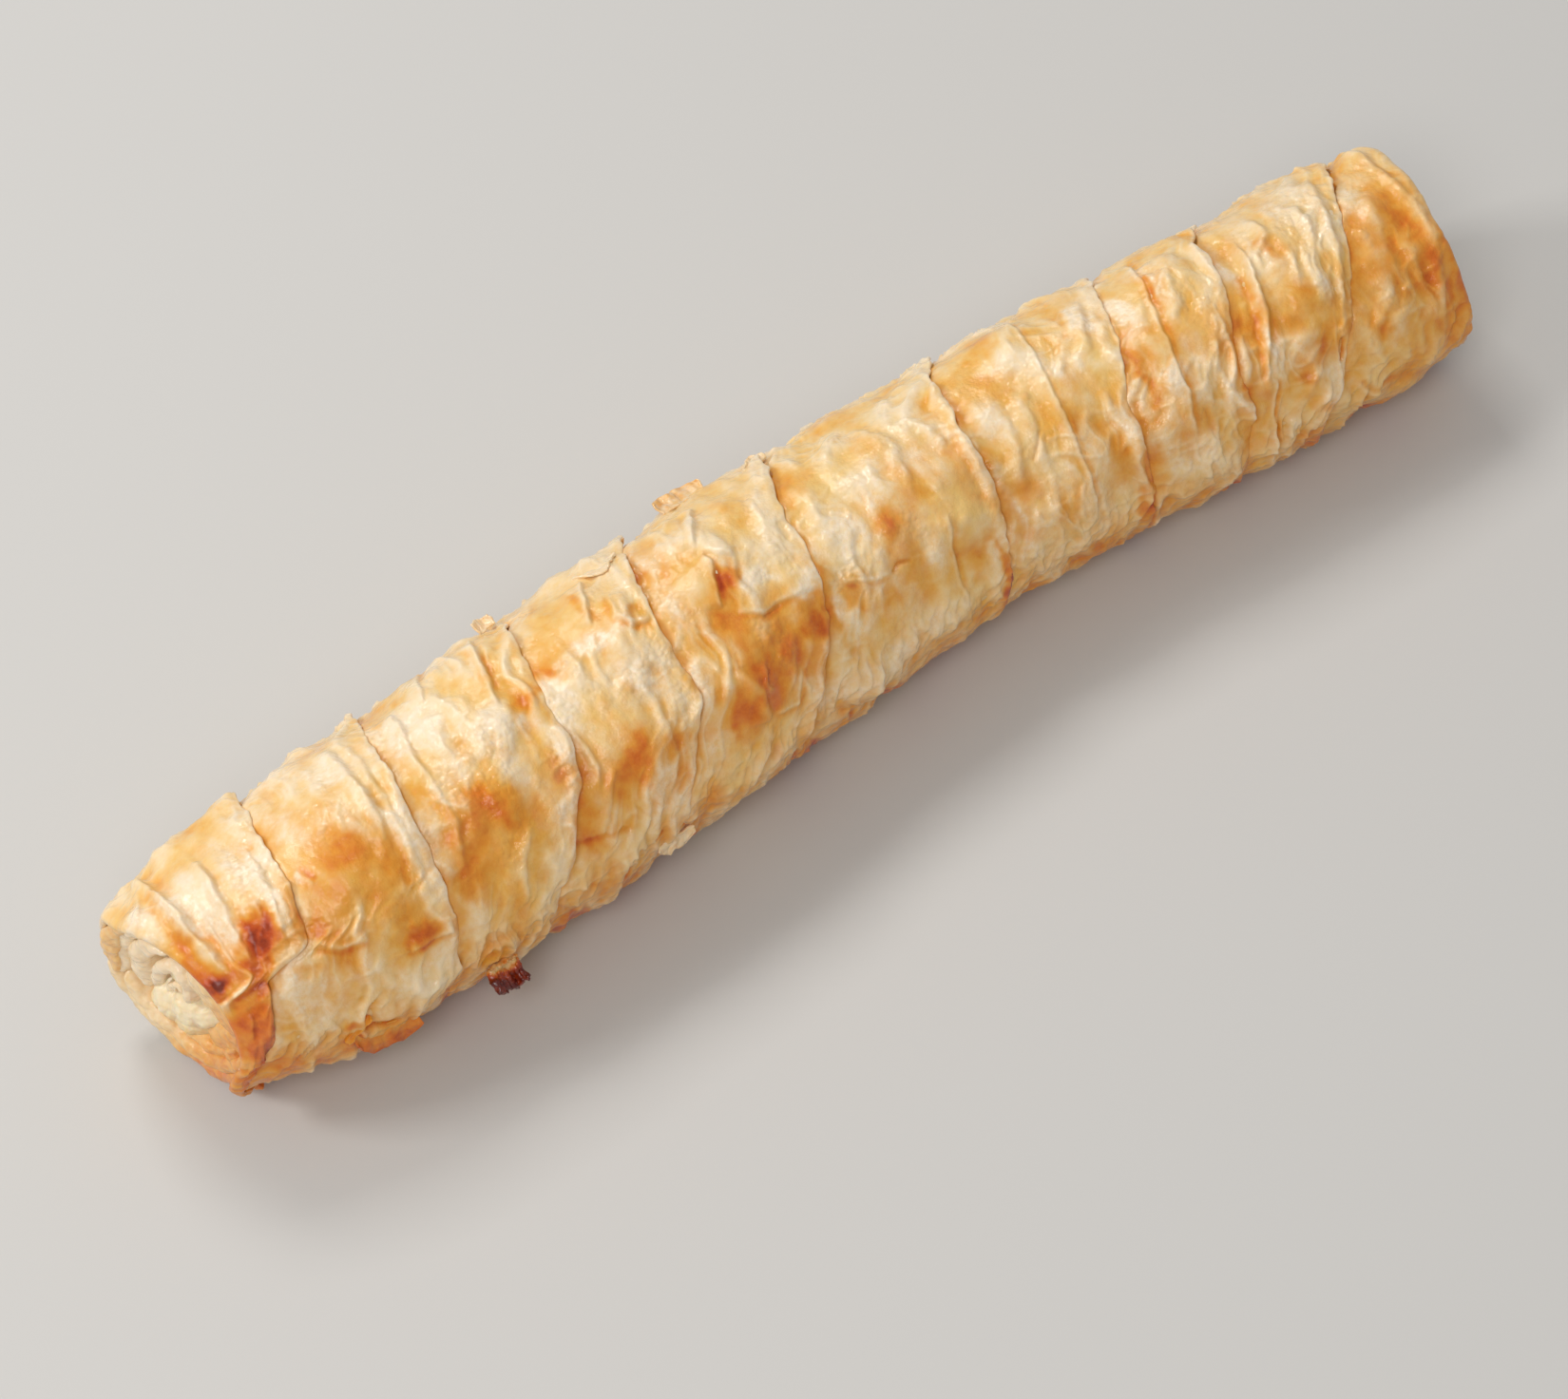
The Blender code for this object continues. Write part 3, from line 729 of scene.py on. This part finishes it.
# Patches of browning, milky flecks, oily places, and pores drawn as coarse as they need to show
mottle, fleck, gloss, pores = [
    add_node(
        tree, "TexNoise", None, {"Scale": per_metre(size), "Detail": detail, "Roughness": rough},
        {"Vector": (where, "Object")},
    )
    for size, detail, rough in ((2.2, 5.0, 0.6), (1.2, 5.0, 0.65), (6.0, 3.0, 0.5), (0.8, 4.0, 0.6))
]
mottled = add_node(tree, "Math", {"operation": "MULTIPLY_ADD"}, {1: 0.32, 2: -0.16}, {0: (mottle, "Fac")})
browner = add_node(tree, "Math", {"operation": "ADD"}, links={0: (baking, "Fac"), 1: (mottled, "Value")})
toast = add_node(tree, "ValToRGB", links={"Fac": (browner, "Value")})
set_ramp(toast, [
    (0.00, "#F5E1BE"), (0.20, "#F2D197"), (0.34, "#EFC172"), (0.48, "#EBAC4A"),
    (0.62, "#E5952C"), (0.76, "#D87014"), (0.88, "#BA4402"), (1.00, "#7C2000"),
])
buttered = add_node(tree, "Math", {"operation": "MULTIPLY"}, {1: 0.6}, {0: (butter, "Fac")})
yellow = add_node(
    tree, "Mix", {"data_type": "RGBA"}, {7: colour("#F4D488")},
    {0: (buttered, "Value"), 6: (toast, "Color")},
)
flecks = add_node(tree, "Math", {"operation": "MULTIPLY_ADD"}, {1: 2.2, 2: -0.15}, {0: (fleck, "Fac")})
milkier = add_node(
    tree, "Math", {"operation": "MULTIPLY", "use_clamp": True},
    links={0: (milk, "Fac"), 1: (flecks, "Value")},
)
creamy = add_node(
    tree, "Mix", {"data_type": "RGBA"}, {7: colour("#F9E3C5")},
    {0: (milkier, "Value"), 6: (yellow, 2)},
)
tree.links.new(creamy.outputs[2], shader.inputs["Base Color"])
dryness = add_node(
    tree, "Math", {"operation": "MULTIPLY_ADD"}, {1: -0.25}, {0: (wet, "Fac"), 2: (gloss, "Fac")}
)
roughness = add_node(
    tree, "MapRange", None, {"From Min": 0.15, "From Max": 0.7, "To Min": 0.24, "To Max": 0.52},
    {"Value": (dryness, "Value")},
)
tree.links.new(roughness.outputs["Result"], shader.inputs["Roughness"])
relief = add_node(tree, "Bump", None, {"Strength": 0.7, "Distance": 0.2 * MM}, {"Height": (pores, "Fac")})
bubbles = add_node(
    tree, "TexVoronoi", {"feature": "SMOOTH_F1"}, {"Scale": per_metre(1.1), "Smoothness": 0.4},
    {"Vector": (where, "Object")},
)
foam = add_node(tree, "Math", {"operation": "MULTIPLY_ADD"}, {1: 0.9, 2: 0.1}, {0: (wet, "Fac")})
foamy = add_node(
    tree, "Bump", {"invert": True}, {"Distance": 0.24 * MM},
    {"Strength": (foam, "Value"), "Height": (bubbles, "Distance"), "Normal": (relief, "Normal")},
)
for socket in ("Normal", "Coat Normal"):
    tree.links.new(foamy.outputs["Normal"], shader.inputs[socket])
set_shader(
    shader, IOR=1.45, Specular_IOR_Level=0.15, Subsurface_Weight=0.14, Subsurface_Radius=(1.0, 0.6, 0.35),
    Subsurface_Scale=0.9 * MM, Coat_Weight=0.65, Coat_Roughness=0.06,
)


def fit(piece, material, node):
    """Gives a piece its material and its place in the frame."""
    piece.data.materials.append(material)
    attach(piece, "root")
    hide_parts(node)


for turn in range(1, TURNS + 1):
    fit(wind_turn(turn), baked_yufka, "pastry_roll")

# ------------------------------------------------------------
# The leaves inside both ends: the same dough, wound and folded round the cheese. It steamed
# rather than baked, so it stayed pale and soft, and shows as thick lips and curls in the opening.
# Y runs to the front and Z up from the floor, in mm, on the slanting face of the end.

# The near face's place, its slant, and the angle that it slants towards, and then the far face's
FACE_AT, FACE_SLANT, FACE_TURN = 3.5, 4.5, 75.0
FAR_FACE_AT, FAR_SLANT = 1.2, 2.4
NEAR_MIDDLE, FAR_MIDDLE = (0.6, 21.0), (1.2, 19.6)
FACE_RADIUS, FAR_FACE_RADIUS = 19.0, 17.0
LEAF_DEPTH = 9.0  # how far the leaves run in

# Each leaf as its spine of (Y, Z), its widths along that, how far in it stands, its crown, and how
# much browner it is, most of all low at the front, where the browning is partly painted shade
NEAR_LEAVES = [
    ([(17.2, 14.5), (14.2, 9.5), (9.3, 5.4), (3.2, 3.4), (-3.2, 3.4), (-9.3, 5.4), (-14.2, 9.5),
      (-17.4, 15.1), (-18.3, 19.9)], [2.6, 3.6, 4, 3.6, 4, 3.8, 4, 3.6, 2.6], -0.2, 1.6, 0.38),
    ([(14.4, 16.5), (12.6, 12.4), (8, 8.6), (1, 6.6), (-6, 7.8), (-11.4, 11.6), (-14, 16)],
     [2.2, 3.2, 3.6, 3.4, 3.6, 3.4, 2.4], -0.5, 1.4, 0.30),
    ([(11.6, 16.4), (10.6, 13.6), (7.4, 11.2), (2.5, 10), (-3, 10.2)],
     [1.8, 3, 3.4, 3.2, 2], 0.2, 1.3, 0.30),
    ([(-14.8, 14.6), (-15.6, 21), (-14.4, 27), (-11.6, 31.4), (-7.4, 34.6), (-2.4, 36.2)],
     [3, 5, 5.2, 4.8, 4, 2.6], -0.3, 1.6, 0.04),
    ([(-9.8, 14.5), (-10.6, 20.6), (-9.8, 25.2), (-7.8, 28.8), (-5, 31.4), (-1.5, 32.6)],
     [3.4, 5.4, 5, 4.2, 3.2, 1.8], 0.1, 1.5, 0.0),
    ([(-5.9, 19.5), (-5, 23.7), (-3.4, 27.4), (-0.8, 30), (1.8, 29.4), (2.7, 25.9), (1.9, 21.5)],
     [1.4, 2.4, 2.6, 2.8, 2.6, 2.2, 1.6], -0.4, 1.1, 0.0),
    ([(-3.4, 19.4), (-2.4, 22), (-0.8, 23.6), (0.5, 21.8)], [1.5, 2.0, 1.8, 1.2], 0.4, 0.9, 0.04),
    ([(2.6, 33), (7, 29.8), (11, 26.2), (15, 21.6)], [4.6, 10.4, 10.8, 4.6], 0.0, 2.8, 0.33),
    ([(4.8, 11), (7.6, 14.2), (10.6, 17), (13.6, 18.8)], [4.6, 7.6, 7.2, 3.4], 0.6, 2.4, 0.30),
    ([(-10.6, 33.6), (-14, 29.2), (-15.8, 24), (-16.2, 19), (-15.4, 15)],
     [1.6, 3.2, 3.8, 3.2, 2], -1.0, 1.0, 0.90),
]


def smooth_path(points, share):
    """Places along a smooth curve through the points, and the unit normals there."""
    columns = np.array(points, float).T
    at = share * (columns.shape[1] - 1)
    here = np.stack([through(column, at) for column in columns], -1)
    ahead = np.stack([through(column, at + 0.01) for column in columns], -1)
    behind = np.stack([through(column, at - 0.01) for column in columns], -1)
    along = ahead - behind
    along /= np.linalg.norm(along, axis=1)[:, None]
    return here, np.stack([-along[:, 1], along[:, 0]], -1)


def on_face(y, z, s):
    """Points in metres, from a distance to the front of the centre line, a height and an s."""
    return np.stack([s * MM + roll_low.x, (centre(s)[0] - y) * MM, z * MM], -1)


def in_near_end(y, z, depth):
    tilt = math.radians(FACE_TURN)
    over = (y * math.sin(tilt) + (z - NEAR_MIDDLE[1]) * math.cos(tilt)) / FACE_RADIUS
    return on_face(y, z, FACE_AT + FACE_SLANT * over + depth)


def in_far_end(y, z, depth):
    tilt = math.radians(FAR_REACH_AT)
    over = (y * math.sin(tilt) + (z - FAR_MIDDLE[1]) * math.cos(tilt)) / FAR_FACE_RADIUS
    return on_face(y, z, LENGTH - FAR_FACE_AT - depth + FAR_SLANT * np.clip(over, 0, 1))


def roughen(piece, size, amount, salt, billow=False):
    """Moves a piece's points along their normals by noise with features of that size in mm."""
    points = points_of(piece)
    p = points / (size * MM) + salt
    bumps = lumps(*p.T) + 0.5 * lumps(*(2.1 * p).T)
    if billow:
        bumps = 1.6 * np.abs(bumps) - 0.6
    set_points(piece, points + points_of(piece, "normal") * (bumps * amount * MM)[:, None])
    return bumps


def refine(piece, levels):
    """Subdivides a piece and keeps the result."""
    soft = piece.modifiers.new("soft", "SUBSURF")
    soft.levels = soft.render_levels = levels
    bpy.ops.object.modifier_apply(modifier="soft")


def lay_leaf(name, place, spine, widths, depth, crown):
    """One lip of dough: a thick ribbon that runs into the end, with a round front."""
    front_rows, side_rows, back_rows, columns = 12, 5, 3, 40
    rows = front_rows + 2 * side_rows + back_rows
    piece, row, share = add_grid(name, rows, columns)
    row = row % rows
    here, normal = smooth_path(spine, share)
    taper = (1 - np.abs(2 * share - 1) ** 6) ** 0.5
    half = 0.5 * through(widths, share * (len(widths) - 1)) * np.clip(taper, 0.15, 1)
    bend = math.pi * row / front_rows
    past_front = row - front_rows
    past_side = past_front - side_rows
    past_back = past_side - back_rows
    parts = [past_front <= 0, past_side <= 0, past_back <= 0]
    across = np.select(parts, [-np.cos(bend), 1.0, 1 - 2 * past_side / back_rows], -1.0)
    run_in = (LEAF_DEPTH - crown) / side_rows
    inward = np.select(
        parts, [crown * (1 - np.abs(np.sin(bend))), crown + run_in * past_front, LEAF_DEPTH],
        LEAF_DEPTH - run_in * past_back,
    )
    inward += (1 - taper) * 1.5 + depth
    y, z = (here + normal * (across * half)[:, None]).T
    set_points(piece, place(y, np.maximum(z, 0.6), inward))
    close_up()
    refine(piece, 2)
    return piece


for number, (spine, widths, depth, crown, browner) in enumerate(NEAR_LEAVES, 1):
    leaf = lay_leaf(f"near_leaf_{number}", in_near_end, spine, widths, depth, crown)
    roughen(leaf, 5.0, 0.45, 60.0 + number)
    roughen(leaf, 2.6, 0.20, number)
    bumps = roughen(leaf, 1.3, 0.07, 9.0 + number)
    place = points_of(leaf) / MM
    # partly painted shade: the leaves brown more low at the front of the face, in the shadow of the collar
    browned = browner * (0.3 + smooth(6.5 - place[:, 1] - 0.5 * place[:, 2], -8, 8))
    pale = np.clip(0.55 - 1.1 * browned, 0.15, 1)
    add_attributes(leaf, baking=0.12 + 1.2 * browned - 0.08 * bumps, milk=pale, butter=0.0, wet=0.3)
    fit(leaf, baked_yufka, "pastry_roll")

# At the far end the leaves lie in a plain spiral, and the last one lines the rim. Each is given as
# its outer and inner radius, and the angle that it starts at
FAR_LEAVES = [(14.6, 11.5, 100), (10.4, 6.8, 300), (5.6, 1.8, 150), (16.9, 16.7, 185)]
FAR_WIDTHS = [1.6, 2.4, 2.8, 2.2, 3.0, 2.4, 1.6]
for number, (outer, inner, start) in enumerate(FAR_LEAVES, 1):
    steps = np.arange(9) / 8
    turned = np.radians(start + 330 * steps)
    reach = outer + (inner - outer) * steps
    spine = np.stack([FAR_MIDDLE[0] + reach * np.sin(turned), FAR_MIDDLE[1] + reach * np.cos(turned)], -1)
    leaf = lay_leaf(f"far_leaf_{number}", in_far_end, spine, FAR_WIDTHS, 0.4, 1.0)
    roughen(leaf, 4.0, 0.5, 30.0 + number)
    bumps = roughen(leaf, 1.5, 0.10, 40.0 + number)
    add_attributes(leaf, baking=0.26 - 0.05 * bumps, milk=0.35, butter=0.1, wet=0.4)
    fit(leaf, baked_yufka, "pastry_roll")

# ------------------------------------------------------------
# The filling: salted white cheese, crumbled and packed along the roll. In the ends it swelled into
# soft curds, pale yellow, and took a little gold on the edges that met the hot air.

# Curds that stand forward, each as (Y, Z), radius and how far it stands forward
NEAR_CURDS = [
    ((-4.5, 14.0), 5.2, 4.4), ((0.5, 16.8), 4.8, 4.2), ((-7.5, 11.5), 3.6, 3.6), ((4.0, 17.8), 3.0, 3.2),
    ((-0.5, 12.0), 4.6, 3.8), ((-1.0, 25.6), 3.0, 2.6), ((0.8, 20.8), 2.6, 2.4),
]
FAR_CURDS = [((3.0, 20.0), 5.0, 2.4), ((-3.0, 15.0), 4.0, 2.4)]
CORE_RADIUS, CORE_RECESS, CORE_THICKNESS = 16.4, 3.4, 14.0

# White cheese: moist and a little see-through, so its light is soft, with a grain of fine crumbs
white_cheese, tree, shader = new_material("baked_white_cheese")
where = add_node(tree, "TexCoord")
golden = add_node(tree, "Attribute", {"attribute_name": "baking"})
speckle, crumb = [
    add_node(
        tree, "TexNoise", None, {"Scale": per_metre(size), "Detail": detail, "Roughness": 0.6},
        {"Vector": (where, "Object")},
    )
    for size, detail in ((3.0, 5.0), (1.0, 4.0))
]
speckled = add_node(
    tree, "Math", {"operation": "MULTIPLY_ADD"}, {1: 0.5, 2: -0.25}, {0: (speckle, "Fac")},
)
warmed = add_node(tree, "Math", {"operation": "ADD"}, links={0: (golden, "Fac"), 1: (speckled, "Value")})
tint = add_node(tree, "ValToRGB", links={"Fac": (warmed, "Value")})
set_ramp(tint, [(0.0, "#FDEDCE"), (0.3, "#F9DFB2"), (0.55, "#F1C47C"), (0.75, "#DFA04A"), (1.0, "#AC6622")])
tree.links.new(tint.outputs["Color"], shader.inputs["Base Color"])
grainy = add_node(
    tree, "Bump", None, {"Strength": 0.7, "Distance": 0.35 * MM}, {"Height": (crumb, "Fac")},
)
tree.links.new(grainy.outputs["Normal"], shader.inputs["Normal"])
set_shader(
    shader, Roughness=0.42, IOR=1.45, Subsurface_Weight=0.5, Subsurface_Radius=(1.0, 0.75, 0.4),
    Subsurface_Scale=2.5 * MM, Coat_Weight=0.3, Coat_Roughness=0.2,
)


def pack_cheese(name, place, middle, curds, salt):
    """A closed plug of cheese behind an end's leaves, with curds pushed forward between them."""
    bpy.ops.object.select_all(action="DESELECT")
    bpy.ops.mesh.primitive_ico_sphere_add(subdivisions=6, radius=1)
    piece = take(name)
    ball = points_of(piece)
    x = ball[:, 0]
    y, z = middle[0] + CORE_RADIUS * ball[:, 1], middle[1] + CORE_RADIUS * ball[:, 2]
    inward = CORE_RECESS + 2.0 + np.where(x < 0, 2.0, CORE_THICKNESS) * x
    forward = np.zeros(len(ball))
    for (at_y, at_z), size, stand in curds:
        away = ((y - at_y) ** 2 + (z - at_z) ** 2) / size**2
        forward = np.maximum(forward, stand * np.clip(1 - away, 0, None) ** 0.6)
    facing = smooth(-x, -0.1, 0.3)
    set_points(piece, place(y, np.maximum(z, 2.0), inward - forward * facing))
    bpy.ops.object.mode_set(mode="EDIT")
    face_outwards()
    refine(piece, 1)
    roughen(piece, 3.6, 0.34, salt, billow=True)
    bumps = roughen(piece, 1.5, 0.14, salt + 5, billow=True)
    places_now = points_of(piece) / MM
    low_edge = smooth(middle[1] - 4 - places_now[:, 2], 0, 9) + 0.5 * smooth(-places_now[:, 1], 0, 9)
    add_attributes(piece, baking=0.20 + 0.35 * low_edge + 0.1 * bumps)
    fit(piece, white_cheese, "cheese_filling")


pack_cheese("near_cheese", in_near_end, NEAR_MIDDLE, NEAR_CURDS, 3.0)
pack_cheese("far_cheese", in_far_end, FAR_MIDDLE, FAR_CURDS, 17.0)

# ------------------------------------------------------------
# Torn flakes: bits of the outer leaf of dough that dried, split and curled away from the roll,
# paper-thin and ragged, and browner towards their tips.

# Each as the two ends (s, angle) of the side that holds on, how far it reaches out in mm and how
# many degrees it turns for each, how high it curls, its thickness, and its brown at root and tip
FLAKES = [
    ("top_flake", (124.0, -45), (134.4, -50), 5.6, -2.2, 2.6, 0.45, 0.44, 0.48),
    ("top_flake_tip", (146.5, -44), (141.5, -40), 3.0, -2.0, 1.2, 0.45, 0.36, 0.40),
    ("low_flake", (23.4, 96), (36.0, 102), 6.6, 2.3, 2.2, 0.45, 0.56, 0.80),
    ("low_flake_curl", (22.2, 97), (27.2, 86), 1.8, 0.6, 1.2, 0.5, 0.66, 0.60),
    ("shoulder_flake", (101.5, -37), (111.0, -35), 4.0, 2.2, 0.6, 0.45, 0.24, 0.30),
    ("triangle_flake", (117.4, 2), (123.5, -5), 5.0, 2.2, 0.5, 0.45, 0.30, 0.30),
    ("rim_flake", (83.4, -50), (87.0, -52), 2.6, -2.0, 2.2, 0.45, 0.34, 0.38),
    ("foot_flake", (88.0, 98), (96.0, 100), 3.4, 2.3, 1.0, 0.45, 0.36, 0.42),
]


def tear_flake(name, one_end, other_end, reach, sideways, curl, thickness, ragged):
    """A thin curled sheet that holds on along one side. It gives back how far out each point is."""
    out_rows = 20
    piece, row, share = add_grid(name, out_rows, 32)
    out = row / out_rows
    level = np.zeros(len(row))
    salt = level + one_end[0]
    frayed = 0.15 + 0.85 * np.sin(math.pi * share) ** 0.5 + ragged * lumps(share * 5, salt, level + 0.5)
    frayed += 0.5 * ragged * lumps(share * 13, salt, level + 0.2)
    away = reach * out * np.clip(frayed, 0.25, 1.3)
    s = one_end[0] + (other_end[0] - one_end[0]) * share + 0.5 * lumps(share * 4, out * 2, salt)
    angle = one_end[1] + (other_end[1] - one_end[1]) * share + sideways * away
    lift = 0.9 + curl * out**1.6 + 0.35 * lumps(share * 4 + salt, out * 2.5, level)
    set_points(piece, on_the_roll(s, angle, lift))
    add_attributes(piece, out=out)
    thick = piece.modifiers.new("sheet", "SOLIDIFY")
    thick.thickness = thickness * MM
    thick.offset = 0.0
    bpy.ops.object.modifier_apply(modifier="sheet")
    refine(piece, 1)
    bpy.ops.object.shade_smooth()
    out = np.empty(len(piece.data.vertices), np.float32)
    piece.data.attributes["out"].data.foreach_get("value", out)
    return piece, out


for name, one_end, *shape, root_brown, tip_brown in FLAKES:
    flake, out = tear_flake(name, one_end, *shape, 0.35)
    bumps = roughen(flake, 1.6, 0.06, one_end[0])
    brown = root_brown + (tip_brown - root_brown) * out + 0.06 * bumps
    add_attributes(flake, baking=brown, milk=0.6 * (1 - smooth(brown, 0.40, 0.56)), butter=0.0, wet=0.2)
    fit(flake, baked_yufka, "pastry_roll")

# ------------------------------------------------------------
# The burnt drip: cheese that ran out through a split low on the front, dragged a shred of dough
# with it, and caramelised to a jagged, glassy crust.

# Caramelised cheese: dark, brittle and glassy, amber where it is thin
burnt_cheese, tree, shader = new_material("caramelised_cheese")
where = add_node(tree, "TexCoord")
scorched = add_node(tree, "Attribute", {"attribute_name": "baking"})
scorch = add_node(
    tree, "TexNoise", None, {"Scale": per_metre(1.6), "Detail": 4.0, "Roughness": 0.6},
    {"Vector": (where, "Object")},
)
patchy = add_node(
    tree, "Math", {"operation": "MULTIPLY_ADD"}, {1: 0.9}, {0: (scorch, "Fac"), 2: (scorched, "Fac")},
)
charred = add_node(tree, "ValToRGB", links={"Fac": (patchy, "Value")})
set_ramp(charred, [
    (0.30, "#DDB070"), (0.44, "#D98630"), (0.58, "#C05212"), (0.76, "#983008"), (1.00, "#601404"),
])
tree.links.new(charred.outputs["Color"], shader.inputs["Base Color"])
set_shader(
    shader, Roughness=0.3, IOR=1.5, Subsurface_Weight=0.2, Subsurface_Radius=(1.0, 0.3, 0.1),
    Subsurface_Scale=1.0 * MM, Coat_Weight=0.3, Coat_Roughness=0.08,
)
drip, out = tear_flake("burnt_drip", (50.4, 103), (56.4, 105), 7.4, 1.0, 4.6, 1.3, 0.45)
roughen(drip, 2.4, 0.5, 51.0)
bumps = roughen(drip, 1.0, 0.22, 5.0)
add_attributes(drip, baking=-0.12 + 0.62 * smooth(out, 0.2, 0.75) + 0.08 * bumps)
fit(drip, burnt_cheese, "cheese_filling")

# ------------------------------------------------------------
# The studio: a plain pale floor, two soft lights high behind the roll, one of them on its left, a
# broader one high in front on the left, and a camera that looks down along the roll.

bpy.ops.object.select_all(action="DESELECT")
bpy.ops.mesh.primitive_plane_add(size=4)
floor = take("floor")
floor_paint, tree, shader = new_material("matt_floor_paint")
set_shader(shader, Base_Color=colour("#CBC8C3"), Roughness=0.8)
floor.data.materials.append(floor_paint)


def softbox(name, place, size, power):
    """A square soft light at that place, aimed at the roll."""
    bpy.ops.object.light_add(type="AREA", location=place)
    light = bpy.context.object
    light.name = name
    light.data.size = size
    light.data.energy = power
    light.rotation_euler = light.location.to_track_quat("Z", "Y").to_euler()


softbox("key", (-0.85, 0.45, 0.80), 0.30, 4.8)
softbox("top", (0.08, 0.72, 1.02), 0.36, 4.7)
softbox("fill", (-0.6, -0.6, 1.15), 0.6, 5.7)

world = bpy.data.worlds.new("studio")
bpy.context.scene.world = world
world.use_nodes = True
sky = world.node_tree.nodes["Background"]
sky.inputs["Color"].default_value = colour("#F4F5F7")
sky.inputs["Strength"].default_value = 0.42

AZIMUTH, ELEVATION, ROLL = math.radians(-29.7), math.radians(55.0), math.radians(7.88)
TARGET = Vector((-0.0142, -0.0150, 0.0225))
DISTANCE = 1.020
level = Vector((math.cos(AZIMUTH), math.sin(AZIMUTH), 0))
level_back = Vector((math.sin(AZIMUTH), -math.cos(AZIMUTH), 0))
back = math.cos(ELEVATION) * level_back + Vector((0, 0, math.sin(ELEVATION)))
upward = back.cross(level)
right = math.cos(ROLL) * level - math.sin(ROLL) * upward
up = math.cos(ROLL) * upward + math.sin(ROLL) * level
bpy.ops.object.camera_add()
camera = bpy.context.object
camera.name = "camera"
turned = Matrix((right, up, back)).transposed().to_4x4()
camera.matrix_world = Matrix.Translation(TARGET + back * DISTANCE) @ turned
camera.data.lens = 130.6
camera.data.sensor_width = 36.0
bpy.context.scene.camera = camera
bpy.context.scene.view_settings.view_transform = "Standard"
